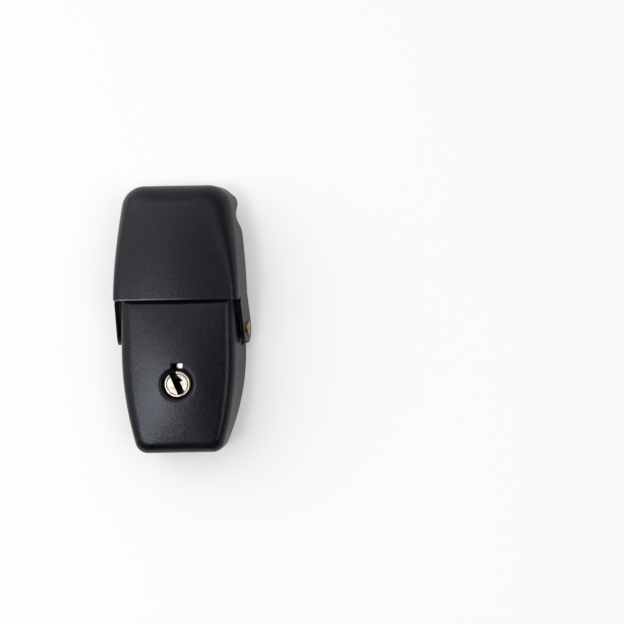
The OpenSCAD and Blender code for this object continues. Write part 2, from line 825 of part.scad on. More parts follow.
module cam_screw() {
    color([0.7, 0.7, 0.67])
        translate([0, plug_y, cam_z - cam_head_h])
            difference() {
                union() {
                    cylinder(r = screw_r * 1.45, h = cam_head_h);
                    cylinder(r = screw_r * 0.8, h = cam_head_h + 1.4);
                }
                block([-2, -0.2, -1], [2, 0.2, 0.3]);
            }
}

module lock_bolt() {
    half = bolt_w / 2;
    pan_half = bolt_pan_w / 2;
    slot_half = crank_pin_r + crank_sag + slide_gap;
    slot_in = crank_r * cos(45) - crank_pin_r - slide_gap;
    slot_out = crank_r + crank_pin_r + slide_gap;
    slot_y = crank_y + crank_sag;
    color([0.77, 0.76, 0.73])
        difference() {
            union() {
                block([-half, bolt_heel_y, bolt_z], [half, riser_y + bolt_t, bolt_z + bolt_t]);
                block([-pan_half, bolt_heel_y, bolt_z], [pan_half, pan_end_y, bolt_z + bolt_t]);
                block([-half, riser_y, bolt_z], [half, riser_y + bolt_t, nose_z + bolt_t]);
                block([-half, riser_y, nose_z], [half, bolt_tip_y, nose_z + bolt_t]);
            }
            block([slot_in, slot_y - slot_half, 0], [slot_out, slot_y + slot_half, body_h]);
        }
}

body_shell();
base_plate();
cylinder_housing();
housing_screws();
hinge_pin();
friction_washers();
bolt_keeper();
keeper_rivets();
strike_plate();
lever_cap();
hook_plate();
key_plug();
wafer_1();
wafer_2();
wafer_3();
wafer_4();
wafer_spring_1();
wafer_spring_2();
wafer_spring_3();
wafer_spring_4();
tail_cam();
cam_screw();
lock_bolt();
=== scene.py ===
import json
import math

import bmesh
import bpy
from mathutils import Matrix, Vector


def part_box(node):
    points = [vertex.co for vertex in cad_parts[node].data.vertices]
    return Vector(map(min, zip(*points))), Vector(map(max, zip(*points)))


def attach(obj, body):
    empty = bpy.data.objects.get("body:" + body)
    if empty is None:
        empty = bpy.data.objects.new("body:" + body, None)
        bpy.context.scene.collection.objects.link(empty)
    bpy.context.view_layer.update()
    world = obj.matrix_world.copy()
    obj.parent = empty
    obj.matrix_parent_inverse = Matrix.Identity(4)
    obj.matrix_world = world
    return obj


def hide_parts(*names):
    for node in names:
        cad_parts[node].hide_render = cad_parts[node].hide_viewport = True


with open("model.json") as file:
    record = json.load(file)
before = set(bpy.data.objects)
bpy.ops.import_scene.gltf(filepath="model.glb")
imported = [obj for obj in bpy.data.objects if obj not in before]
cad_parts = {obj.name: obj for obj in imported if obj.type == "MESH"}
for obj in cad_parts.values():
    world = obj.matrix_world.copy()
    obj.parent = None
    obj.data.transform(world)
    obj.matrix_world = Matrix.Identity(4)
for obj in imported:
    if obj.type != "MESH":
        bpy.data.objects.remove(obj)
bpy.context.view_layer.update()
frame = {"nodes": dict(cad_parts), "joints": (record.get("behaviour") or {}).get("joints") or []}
mm = 0.001
nodes = frame["nodes"]
hingeJoint = next(j for j in frame["joints"] if j["name"] == "lever_hinge")
keyJoint = next(j for j in frame["joints"] if j["name"] == "key_turn")
hingeY, hingeZ = (v / mm for v in hingeJoint["pos_m"][1:])
plugY = keyJoint["pos_m"][1] / mm
print("frame loaded:", len(nodes), "nodes")


def boxMm(node):
    low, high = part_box(node)
    return [v / mm for v in low], [v / mm for v in high]


def meshObject(name, points, faces):
    # points come in millimetres, faces index them
    mesh = bpy.data.meshes.new(name)
    mesh.from_pydata([tuple(c * mm for c in p) for p in points], [], faces)
    mesh.validate()
    thing = bpy.data.objects.new(name, mesh)
    bpy.context.scene.collection.objects.link(thing)
    return thing


def applyModifiers(thing):
    graph = bpy.context.evaluated_depsgraph_get()
    solid = bpy.data.meshes.new_from_object(thing.evaluated_get(graph))
    thing.modifiers.clear()
    old = thing.data
    thing.data = solid
    bpy.data.meshes.remove(old)


def cutAway(thing, cutters):
    # each cutter is a closed mesh object that is used once and removed
    for cutter in cutters:
        cut = thing.modifiers.new("cut", "BOOLEAN")
        cut.operation = "DIFFERENCE"
        cut.solver = "EXACT"
        cut.object = cutter
    applyModifiers(thing)
    for cutter in cutters:
        bpy.data.objects.remove(cutter)


def roundBar(name, start, end, radius, segments=48):
    # closed bar between two points, in millimetres
    a, b = Vector(start), Vector(end)
    along = (b - a).normalized()
    side = along.orthogonal().normalized()
    other = along.cross(side)
    points = []
    for middle in (a, b):
        for i in range(segments):
            t = math.tau * i / segments
            points.append(middle + radius * (math.cos(t) * side + math.sin(t) * other))
    faces = []
    for i in range(segments):
        k = (i + 1) % segments
        faces.append((i, k, segments + k, segments + i))
    faces.append(tuple(reversed(range(segments))))
    faces.append(tuple(range(segments, 2 * segments)))
    return meshObject(name, points, faces)


def boxBar(name, low, high):
    # closed box between two corners, in millimetres
    xs, ys, zs = zip(low, high)
    points = [(x, y, z) for x in xs for y in ys for z in zs]
    faces = [(0, 1, 3, 2), (4, 6, 7, 5), (0, 4, 5, 1), (2, 3, 7, 6), (0, 2, 6, 4), (1, 5, 7, 3)]
    return meshObject(name, points, faces)


def joinInto(thing, others):
    # adds the others' faces to the first mesh as separate closed lumps
    whole = bmesh.new()
    whole.from_mesh(thing.data)
    for other in others:
        whole.from_mesh(other.data)
    whole.to_mesh(thing.data)
    whole.free()
    for other in others:
        bpy.data.objects.remove(other)


def smoothByAngle(thing, degrees):
    for polygon in thing.data.polygons:
        polygon.use_smooth = True
    thing.data.set_sharp_from_angle(angle=math.radians(degrees))


def spread(first, last, count):
    return [first + (last - first) * i / count for i in range(count + 1)]


# body shell: cast zinc, drafted walls, crowned face, keyhole with a rounded lip
bodyShell = dict(
    wall=1.5, sideDraft=8.4, endDraft=6.0, edgeRadius=3.0, rearRadius=2.3,
    sideRadius=62.0, faceRadius=92.0, arcStart=-8.0,
    cornerRadius=3.2, shrinkFrom=2.4, shrink=0.5, cornerLeast=1.2,  # tighter as the edge rolls in
    crown=0.6, crownInset=4.2, crownEnd=1.5, crownPower=6,  # the power eases the crown in
    holeRadius=3.70, rimRadius=4.6, notchWidth=3.1, notchReach=5.4, notchFoot=9.0,
    boltRoom=3.2, boltTop=5.6, boltDepth=4.5, boltPast=1.0,
    seatRadius=4.5, seatX=15.33, pinBore=1.55, beyond=20.0,  # cutters end beyond the shell
    postX=8.4, postRadius=2.0, postFoot=7.2, postTop=12.6, screwBore=0.95, screwTop=10.4,
    steps=dict(straight=12, arc=22, corner=14, front=16, rear=24, wall=8, edge=12, face=16, lip=8,
               bore=24),
    smoothAngle=34,
)
bodyLow, bodyHigh = boxMm("body_shell")


def bodyOutline(inset, endInset, rearInset, share):
    # closed outline in plan from the right upper corner, share is 0 at the foot and 1 at the face
    piece, steps = bodyShell, bodyShell["steps"]
    half = bodyHigh[0] - inset
    top = bodyHigh[1] - rearInset
    end = bodyLow[1] + endInset
    start = piece["arcStart"]
    tighter = max(inset - piece["shrinkFrom"], 0) * piece["shrink"]
    corner = max(piece["cornerRadius"] - tighter, piece["cornerLeast"])
    radius = piece["sideRadius"] + share * (piece["faceRadius"] - piece["sideRadius"])
    turn = math.asin((start - end - corner) / (radius - corner))
    cornerX = half - radius + (radius - corner) * math.cos(turn)
    right = [(half, y) for y in spread(top, start, steps["straight"])]
    for a in spread(0, turn, steps["arc"])[1:]:
        right.append((half - radius + radius * math.cos(a), start - radius * math.sin(a)))
    for a in spread(turn, math.pi / 2, steps["corner"])[1:]:
        right.append((cornerX + corner * math.cos(a), end + corner * (1 - math.sin(a))))
    lower = [(x, end) for x in spread(cornerX, -cornerX, steps["front"])[1:-1]]
    left = [(-x, y) for x, y in reversed(right)]
    upper = [(x, top) for x in spread(-half, half, steps["rear"])[1:-1]]
    ring = right + lower + left + upper
    return list(reversed(ring))


def bodyCrown(x, y):
    # rise of the face over its edge
    piece = bodyShell
    radius = piece["faceRadius"]
    drop = max(piece["arcStart"] - y, 0)
    half = bodyHigh[0] - piece["crownInset"] - (radius - math.sqrt(radius ** 2 - drop ** 2))
    middle = (bodyLow[1] + bodyHigh[1]) / 2
    reach = (bodyHigh[1] - bodyLow[1]) / 2 - piece["crownEnd"]
    across = min(abs(x) / half, 1)
    along = min(abs(y - middle) / reach, 1)
    return piece["crown"] * (1 - across ** 2) * (1 - along ** 2)


def bodyRows(skin, roof):
    # rings from the foot up the wall, round the edge and in towards the keyhole
    piece, steps = bodyShell, bodyShell["steps"]
    edgeZ = bodyHigh[2] - piece["crown"] - roof
    sideDraft, endDraft = math.radians(piece["sideDraft"]), math.radians(piece["endDraft"])
    sideTan, endTan = math.tan(sideDraft), math.tan(endDraft)
    radius, rear = piece["edgeRadius"] - skin / 2, piece["rearRadius"] - skin / 2
    midZ, rearZ = edgeZ - radius, edgeZ - rear
    rows = []
    for z in spread(0, midZ + radius * math.sin(sideDraft), steps["wall"]):
        endInset = z * endTan + skin
        ring = bodyOutline(z * sideTan + skin, endInset, endInset, z / edgeZ)
        rows.append([(x, y, z) for x, y in ring])
    for a in spread(sideDraft, math.pi / 2, steps["edge"])[1:]:
        z, out = midZ + radius * math.sin(a), radius * math.cos(a)
        inset = midZ * sideTan + radius / math.cos(sideDraft) - out + skin
        endInset = midZ * endTan + radius / math.cos(endDraft) - out + skin
        rearInset = z * endTan + skin
        if z > rearZ + rear * math.sin(endDraft):
            rearOut = math.sqrt(max(rear ** 2 - (z - rearZ) ** 2, 0))
            rearInset = rearZ * endTan + rear / math.cos(endDraft) - rearOut + skin
        ring = bodyOutline(inset, endInset, rearInset, z / edgeZ)
        lift = math.sin(a) ** piece["crownPower"]
        rows.append([(x, y, z + lift * bodyCrown(x, y)) for x, y in ring])
    edge = rows[-1]
    target = piece["rimRadius"] if skin == 0 else piece["holeRadius"]
    for share in spread(0, 1, steps["face"])[1:]:
        ring = []
        for x, y, z in edge:
            angle = math.atan2(y - plugY, x)
            rimX, rimY = target * math.cos(angle), plugY + target * math.sin(angle)
            px, py = x + share * (rimX - x), y + share * (rimY - y)
            ring.append((px, py, edgeZ + bodyCrown(px, py)))
        rows.append(ring)
    return rows


def buildBodyShell():
    piece, steps = bodyShell, bodyShell["steps"]
    outer = bodyRows(0, 0)
    inner = bodyRows(piece["wall"], piece["wall"])
    lip = piece["rimRadius"] - piece["holeRadius"]
    rows = list(outer)
    for a in spread(0, math.pi / 2, steps["lip"])[1:]:  # rounded lip of the keyhole
        reach, sink = piece["rimRadius"] - lip * math.sin(a), lip * (1 - math.cos(a))
        ring = []
        for x, y, z in outer[-1]:
            angle = math.atan2(y - plugY, x)
            ring.append((reach * math.cos(angle), plugY + reach * math.sin(angle), z - sink))
        rows.append(ring)
    rows += list(reversed(inner))
    count = len(rows[0])
    points = [p for ring in rows for p in ring]
    faces = []
    for j in range(len(rows)):
        k = (j + 1) % len(rows)
        for i in range(count):
            b = (i + 1) % count
            faces.append((j * count + i, j * count + b, k * count + b, k * count + i))
    shell = meshObject("body_shell_cast", points, faces)
    half, room = piece["notchWidth"] / 2, piece["boltRoom"]
    rear, past, beyond = bodyHigh[1], piece["boltPast"], piece["beyond"]
    notch = boxBar("notch", (-half, plugY, piece["notchFoot"]),
                   (half, plugY + piece["notchReach"], beyond))
    boltWay = boxBar("boltWay", (-room, rear - piece["boltDepth"], -past),
                     (room, rear + past, piece["boltTop"]))
    cutters = [notch, boltWay]
    for side in (-1, 1):
        seat = [(side * x, hingeY, hingeZ) for x in (piece["seatX"], beyond)]
        cutters.append(roundBar("seat", *seat, piece["seatRadius"]))
    ends = [(x, hingeY, hingeZ) for x in (-beyond, beyond)]
    cutters.append(roundBar("pinBore", *ends, piece["pinBore"]))
    cutAway(shell, cutters)
    posts = []
    for x in (-piece["postX"], piece["postX"]):  # posts that take the housing screws
        ends = [(x, plugY, z) for z in (piece["postFoot"], piece["postTop"])]
        post = roundBar("post", *ends, piece["postRadius"])
        ends = [(x, plugY, z) for z in (0, piece["screwTop"])]
        cutAway(post, [roundBar("screwBore", *ends, piece["screwBore"], steps["bore"])])
        posts.append(post)
    joinInto(shell, posts)
    smoothByAngle(shell, piece["smoothAngle"])
    return shell


bodyPiece = buildBodyShell()
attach(bodyPiece, "lock_body")
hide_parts("body_shell")
print("body shell:", len(bodyPiece.data.polygons), "faces")

# lever cap: a drawn sheet with two ears, made as one sheet and thickened
leverCap = dict(
    wall=1.0, sideDraft=8.0, endDraft=5.0, edgeRadius=2.3, farRadius=6.0, rollGap=0.4,
    sideRadius=120.0, footRadius=200.0, arcStart=4.0,
    cornerRadius=6.5, footCorner=5.0, shrinkFrom=2.4, shrink=0.4, cornerLeast=2.5,
    crown=0.6, crownInset=4.9, crownEnd=1.0, crownFront=29.0, crownPower=6, spineEnd=25.5,
    front=5.2, shoulder=11.8, earRadius=4.0, earFoot=-57, earTip=9,  # the ear's angles in degrees
    skirt=4.2, heelY=7.2, endSkirt=6.0, endStep=33.375, stepLength=1.0,
    planZ=5, weld=0.001,  # height at which a column's place is read, and what counts as one place
    scallopY=27.2, scallopLength=8.6, scallopRise=3.6,
    pinBore=1.55, reliefRadius=0.7, reliefX=11, beyond=20.0,  # cutters end beyond the sheet
    earFaceX=15.95, earFaceDepth=3, earFaceRadius=4.5, pinSeatX=17.05, pinSeatRadius=2.1,
    cutEdge=0.26, cutEdgeAngle=50,
    bossYs=(15.45, 19.96), bossRadius=2.1, bossEnd=15.3, hookTop=13.5,
    pegRadius=1.1, pegEnd=11.8, pegInto=0.3,
    steps=dict(tip=12, ear=12, arc=64, corner=20, end=12, wall=12, rise=2, edge=12, roof=14,
               cutEdge=3, bore=24),
    smoothAngle=32,
)
capLow, capHigh = boxMm("lever_cap")


def capFoot():
    # half width and far end of the cap's outer skin, carried down to the case wall
    piece = leverCap
    half = capHigh[0] + capLow[2] * math.tan(math.radians(piece["sideDraft"]))
    end = capHigh[1] + piece["endSkirt"] * math.tan(math.radians(piece["endDraft"]))
    return half, end


def capLowerEdge(y):
    # height of the lower edge along one side: ear, tongue, skirt, scallop, end wall
    piece = leverCap
    ear = piece["earRadius"]
    footAngle = math.radians(piece["earFoot"])
    footY = hingeY + ear * math.cos(footAngle)
    footZ = hingeZ + ear * math.sin(footAngle)
    if y <= footY:
        return hingeZ - math.sqrt(max(ear ** 2 - (y - hingeY) ** 2, 0))
    if y <= piece["heelY"]:
        return footZ + (piece["skirt"] - footZ) * (y - footY) / (piece["heelY"] - footY)
    rise, half = piece["scallopRise"], piece["scallopLength"] / 2
    if abs(y - piece["scallopY"]) < half:
        return piece["skirt"] + rise * (1 + math.cos(math.pi * (y - piece["scallopY"]) / half)) / 2
    step = min(max((y - piece["endStep"] + piece["stepLength"]) / piece["stepLength"], 0), 1)
    return piece["skirt"] + step * (piece["endSkirt"] - piece["skirt"])


def capEarTop(y):
    # height of the ear's upper edge: round the pin, then straight up to the shoulder
    piece = leverCap
    ear = piece["earRadius"]
    run, rise = piece["front"] - hingeY, piece["shoulder"] - hingeZ
    touch = math.atan2(rise, run) + math.acos(ear / math.hypot(run, rise))
    touchY, touchZ = hingeY + ear * math.cos(touch), hingeZ + ear * math.sin(touch)
    if y <= touchY:
        return hingeZ + math.sqrt(max(ear ** 2 - (y - hingeY) ** 2, 0))
    return touchZ + (piece["shoulder"] - touchZ) * (y - touchY) / (piece["front"] - touchY)


def capPlan(column, inset, endInset, z):
    # place in plan of a column: ("side", y), ("arc", share), ("corner", share) or ("end", share)
    piece = leverCap
    half, end = capFoot()
    half, end = half - inset, end - endInset
    share = z / (capHigh[2] - piece["crown"])
    radius = piece["footRadius"] + share * (piece["sideRadius"] - piece["footRadius"])
    corner = piece["footCorner"] + share * (piece["cornerRadius"] - piece["footCorner"])
    tighter = max(inset - piece["shrinkFrom"], 0) * piece["shrink"]
    corner = max(corner - tighter, piece["cornerLeast"])
    turn = math.asin((end - piece["arcStart"] - corner) / (radius - corner))
    kind, value = column
    if kind == "side":
        s = max(value - piece["arcStart"], 0)
        return half - radius + math.sqrt(radius ** 2 - s ** 2), value
    if kind == "arc":
        first = piece["front"]
        last = piece["arcStart"] + radius * math.sin(turn)
        y = first + value * (last - first)
        s = y - piece["arcStart"]
        return half - radius + math.sqrt(radius ** 2 - s ** 2), y
    cornerX = half - radius + (radius - corner) * math.cos(turn)
    if kind == "corner":
        a = turn + value * (math.pi / 2 - turn)
        return cornerX + corner * math.cos(a), end - corner * (1 - math.sin(a))
    return cornerX * (1 - value), end


def capCrown(x, y):
    # rise of the roof over its edge
    piece = leverCap
    radius = piece["sideRadius"]
    s = max(y - piece["arcStart"], 0)
    wide = capFoot()[0] - piece["crownInset"] - (radius - math.sqrt(radius ** 2 - s ** 2))
    middle = (piece["front"] + capHigh[1]) / 2
    reach = (capHigh[1] - middle - piece["crownEnd"]) if y > middle else piece["crownFront"]
    across = min(abs(x) / wide, 1)
    along = min(abs(y - middle) / reach, 1)
    return piece["crown"] * (1 - across ** 2) * (1 - along ** 2)


def capRoll(column):
    # radius of the roof's rolled edge, which grows softer from the front to the far end
    piece = leverCap
    far = {"side": 0, "arc": column[1]}.get(column[0], 1)
    ease = far ** 2 * (3 - 2 * far)
    return piece["edgeRadius"] + ease * (piece["farRadius"] - piece["edgeRadius"])


def capColumn(column):
    # one column of the sheet from its lower edge up; an ear's column stops at the ear's upper edge
    piece, steps = leverCap, leverCap["steps"]
    draft, endDraft = math.radians(piece["sideDraft"]), math.radians(piece["endDraft"])
    sideTan, endTan = math.tan(draft), math.tan(endDraft)
    isEar = column[0] == "side" and column[1] < piece["front"] - piece["weld"]
    planZ = piece["planZ"]
    planY = capPlan(column, planZ * sideTan, planZ * endTan, planZ)[1]
    edgeZ = capHigh[2] - piece["crown"]
    radius = capRoll(column)
    midZ = edgeZ - radius
    rollZ = midZ + radius * math.sin(draft)
    high = capEarTop(planY) if isEar else min(piece["shoulder"], rollZ - piece["rollGap"])
    heights = spread(capLowerEdge(planY), high, steps["wall"])
    if not isEar:
        heights += spread(high, rollZ, steps["rise"])[1:]
    points = [(*capPlan(column, z * sideTan, z * endTan, z), z) for z in heights]
    if isEar:
        return points
    for a in spread(draft, math.pi / 2, steps["edge"])[1:]:
        z, out = midZ + radius * math.sin(a), radius * math.cos(a)
        inset = midZ * sideTan + radius / math.cos(draft) - out
        endInset = midZ * endTan + radius / math.cos(endDraft) - out
        x, y = capPlan(column, inset, endInset, z)
        points.append((x, y, z + math.sin(a) ** piece["crownPower"] * capCrown(x, y)))
    edgeX, edgeY, _ = points[-1]
    spineY = min(edgeY, piece["spineEnd"])
    for share in spread(0, 1, steps["roof"])[1:]:
        x, y = edgeX * (1 - share), edgeY + share * (spineY - edgeY)
        points.append((x, y, edgeZ + capCrown(x, y)))
    return points


def buildLeverCap():
    piece, steps = leverCap, leverCap["steps"]
    ear = piece["earRadius"]
    # columns of the right half, from the ear's tip to the middle of the end wall
    tip = spread(math.radians(piece["earTip"]), math.pi / 2, steps["tip"])
    columns = [("side", hingeY - ear * math.cos(t)) for t in tip]
    columns += [("side", y) for y in spread(hingeY, piece["front"], steps["ear"])[1:]]
    for kind in ("arc", "corner", "end"):
        columns += [(kind, t) for t in spread(0, 1, steps[kind])[1:]]
    halfSheet = [capColumn(column) for column in columns]
    points, faces = [], []
    for side in (1, -1):
        starts = []
        for line in halfSheet:
            starts.append(len(points))
            points += [(side * x, y, z) for x, y, z in line]
        for i in range(len(halfSheet) - 1):
            a, b = starts[i], starts[i + 1]
            for j in range(min(len(halfSheet[i]), len(halfSheet[i + 1])) - 1):
                quad = (a + j, b + j, b + j + 1, a + j + 1)
                faces.append(quad if side > 0 else tuple(reversed(quad)))
    cap = meshObject("lever_cap_drawn", points, faces)
    sheet = bmesh.new()
    sheet.from_mesh(cap.data)
    bmesh.ops.remove_doubles(sheet, verts=sheet.verts, dist=piece["weld"] * mm)
    bmesh.ops.recalc_face_normals(sheet, faces=sheet.faces)
    roof = max(sheet.faces, key=lambda f: f.calc_center_median().z)
    if roof.normal.z < 0:
        bmesh.ops.reverse_faces(sheet, faces=sheet.faces)
    sheet.to_mesh(cap.data)
    sheet.free()
    thicken = cap.modifiers.new("sheet", "SOLIDIFY")
    thicken.thickness = piece["wall"] * mm
    thicken.offset = -1
    thicken.use_even_offset = True
    edge = cap.modifiers.new("cutEdge", "BEVEL")
    edge.width = piece["cutEdge"] * mm
    edge.segments = steps["cutEdge"]
    edge.limit_method = "ANGLE"
    edge.angle_limit = math.radians(piece["cutEdgeAngle"])
    applyModifiers(cap)
    beyond, face = piece["beyond"], piece["earFaceX"]
    ends = [(x, hingeY, hingeZ) for x in (-beyond, beyond)]
    cutters = [roundBar("pinBore", *ends, piece["pinBore"])]
    for side in (-1, 1):
        inside = [(side * x, hingeY, hingeZ) for x in (face - piece["earFaceDepth"], face)]
        cutters.append(roundBar("earFace", *inside, piece["earFaceRadius"]))
        corner = [(side * x, piece["front"], piece["shoulder"]) for x in (piece["reliefX"], beyond)]
        cutters.append(roundBar("relief", *corner, piece["reliefRadius"], steps["bore"]))
    seat = (piece["pinSeatX"], hingeY, hingeZ)  # flat under the riveted head, on the right only
    cutters.append(roundBar("pinSeat", seat, ends[1], piece["pinSeatRadius"]))
    cutAway(cap, cutters)
    bosses = []
    for y in piece["bossYs"]:  # bosses and pegs that carry the hook plate
        ends = [(0, y, z) for z in (piece["hookTop"], piece["bossEnd"])]
        bosses.append(roundBar("boss", *ends, piece["bossRadius"]))
        ends = [(0, y, z) for z in (piece["pegEnd"], piece["hookTop"] + piece["pegInto"])]
        bosses.append(roundBar("peg", *ends, piece["pegRadius"]))
    joinInto(cap, bosses)
    smoothByAngle(cap, piece["smoothAngle"])
    return cap


capPiece = buildLeverCap()
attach(capPiece, "lever")
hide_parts("lever_cap")
print("lever cap:", len(capPiece.data.polygons), "faces")


def linearColour(hexText):
    # sRGB hex to the linear colour that a shader takes
    out = []
    for i in (1, 3, 5):
        c = int(hexText[i:i + 2], 16) / 255
        out.append(c / 12.92 if c <= 0.04045 else ((c + 0.055) / 1.055) ** 2.4)
    return (*out, 1.0)


def addNode(tree, kind, settings=None, links=None):
    # settings go to inputs by name or number, or else to the node itself; links give input: output
    # a mix node has its two colours at inputs 6 and 7, and its two values at 2 and 3
    node = tree.nodes.new(kind)
    for key, value in (settings or {}).items():
        if isinstance(key, str) and key not in node.inputs:
            setattr(node, key, value)
    for key, value in (settings or {}).items():
        if not isinstance(key, str) or key in node.inputs:
            node.inputs[key].default_value = value
    for key, output in (links or {}).items():
        tree.links.new(output, node.inputs[key])
    return node


def startMaterial(name):
    material = bpy.data.materials.new(name)
    material.use_nodes = True
    material.node_tree.nodes.clear()
    return material, material.node_tree


def perMm(size):
    # pattern scale, in repeats to the metre, of a feature of this many millimetres
    return 1 / (size * mm)


bumpStrength = 0.5  # share of a bump's height that the shading takes, where a look gives no other

# satin black stoving enamel, sprayed and baked: a deep blue-black with a soft sheen that breaks
# on a fine sandy spray grain, a slow orange peel that makes long highlights waver, and steep walls
# that caught the spray at a slant and dried more matt
# the real grain is near 0.1 mm, drawn at 0.55 mm so that it shows
blackEnamel = dict(
    dark="#07080a", light="#131417", sheen="#ebf0ff", gloss=0.25, ior=1.5,
    grainMm=0.55, grainDetail=2.0, grainHeight=0.045, grainStrength=0.6, speckle=(0.35, 0.65),
    peelMm=2.6, peelDetail=1.0, peelHeight=0.03,
    cloudMm=9.0, cloudDetail=3.0, rough=(0.23, 0.29),
    wallRough=0.39, facing=(0.35, 0.95),  # upward part of the normal on a wall and on the face
    # light grey band along a cut edge: worn paint and a painted highlight, full at the top and at
    # the left, lit end, fading to the least share at the right
    wornEdgeHighlight="#a8a9ab", edgeBandMm=0.35, litSideX=(4.0, -12.0), edgeTopZ=(13.0, 14.8), litSideLeast=0.06,
)


def satinBlackEnamel(name, cutEdgeY=None):
    # the second argument is the place of a cut edge, in mm; a light grey band along it is worn
    # paint and a painted highlight
    look = blackEnamel
    material, tree = startMaterial(name)
    coordinates = addNode(tree, "ShaderNodeTexCoord")
    place = coordinates.outputs["Object"]
    noise = {}
    for kind in ("grain", "peel", "cloud"):
        noise[kind] = addNode(tree, "ShaderNodeTexNoise", {
            "Scale": perMm(look[kind + "Mm"]), "Detail": look[kind + "Detail"],
        }, {"Vector": place}).outputs["Fac"]
    speckle = addNode(tree, "ShaderNodeMapRange", {
        "From Min": look["speckle"][0], "From Max": look["speckle"][1]}, {"Value": noise["grain"]})
    colour = addNode(tree, "ShaderNodeMix", {
        "data_type": "RGBA", 6: linearColour(look["dark"]), 7: linearColour(look["light"]),
    }, {0: speckle.outputs["Result"]})
    # painted highlight and edge wear: light grey along the cut edge, strongest at its top and at
    # the left, where the light falls
    if cutEdgeY is not None:
        axes = addNode(tree, "ShaderNodeSeparateXYZ", links={"Vector": place})
        wornHighlightShare = noise["peel"]
        for axis, (bare, full), least in (
                ("Y", (cutEdgeY + look["edgeBandMm"], cutEdgeY), 0.0),
                ("Z", look["edgeTopZ"], 0.0),
                ("X", look["litSideX"], look["litSideLeast"])):
            share = addNode(tree, "ShaderNodeMapRange", {
                "From Min": bare * mm, "From Max": full * mm, "To Min": least,
            }, {"Value": axes.outputs[axis]})
            wornHighlightShare = addNode(tree, "ShaderNodeMath", {"operation": "MULTIPLY"}, {
                0: wornHighlightShare, 1: share.outputs["Result"]}).outputs["Value"]
        colour = addNode(tree, "ShaderNodeMix", {
            "data_type": "RGBA", 7: linearColour(look["wornEdgeHighlight"])}, {0: wornHighlightShare, 6: colour.outputs[2]})
    normal = addNode(tree, "ShaderNodeSeparateXYZ", links={"Vector": coordinates.outputs["Normal"]})
    level = addNode(tree, "ShaderNodeMapRange", {
        "From Min": look["facing"][0], "From Max": look["facing"][1],
    }, {"Value": normal.outputs["Z"]})
    satin = addNode(tree, "ShaderNodeMapRange", {
        "To Min": look["rough"][0], "To Max": look["rough"][1]}, {"Value": noise["cloud"]})
    rough = addNode(tree, "ShaderNodeMix", {"data_type": "FLOAT", 2: look["wallRough"]}, {
        0: level.outputs["Result"], 3: satin.outputs["Result"]})
    slow = addNode(tree, "ShaderNodeBump", {
        "Strength": bumpStrength, "Distance": look["peelHeight"] * mm}, {"Height": noise["peel"]})
    fine = addNode(tree, "ShaderNodeBump", {
        "Strength": look["grainStrength"], "Distance": look["grainHeight"] * mm,
    }, {"Height": noise["grain"], "Normal": slow.outputs["Normal"]})
    paint = addNode(tree, "ShaderNodeBsdfPrincipled", {
        "IOR": look["ior"], "Specular IOR Level": look["gloss"],
        "Specular Tint": linearColour(look["sheen"]),
    }, {"Base Color": colour.outputs[2], "Roughness": rough.outputs[0],
        "Normal": fine.outputs["Normal"]})
    addNode(tree, "ShaderNodeOutputMaterial", links={"Surface": paint.outputs["BSDF"]})
    return material


# bright nickel on turned brass: a mirror that the tool's rings draw out round the axis,
# with near-black painted shade below the face, down in the slot and round the rim
# real rings are near 0.13 mm apart, drawn at 0.817 mm so that they show
turnedNickel = dict(
    bright="#d2ccc0", dull="#625d55", rough=(0.24, 0.40), smearMm=2.2, smearDetail=4.0,
    ringMm=0.817, ringHeight=0.0025, ringWaver=0.6,
    # painted shade below the face: its near-black colour, its roughness, and the depths in mm under
    # the face where it is full and where it fades out
    slotShade="#0d0c0b", slotShadeRough=0.55, slotShadeTop=0.40, slotShadeFade=0.22,
)
waveRepeats = 20 / math.tau  # repeats to the unit of a wave texture at scale 1


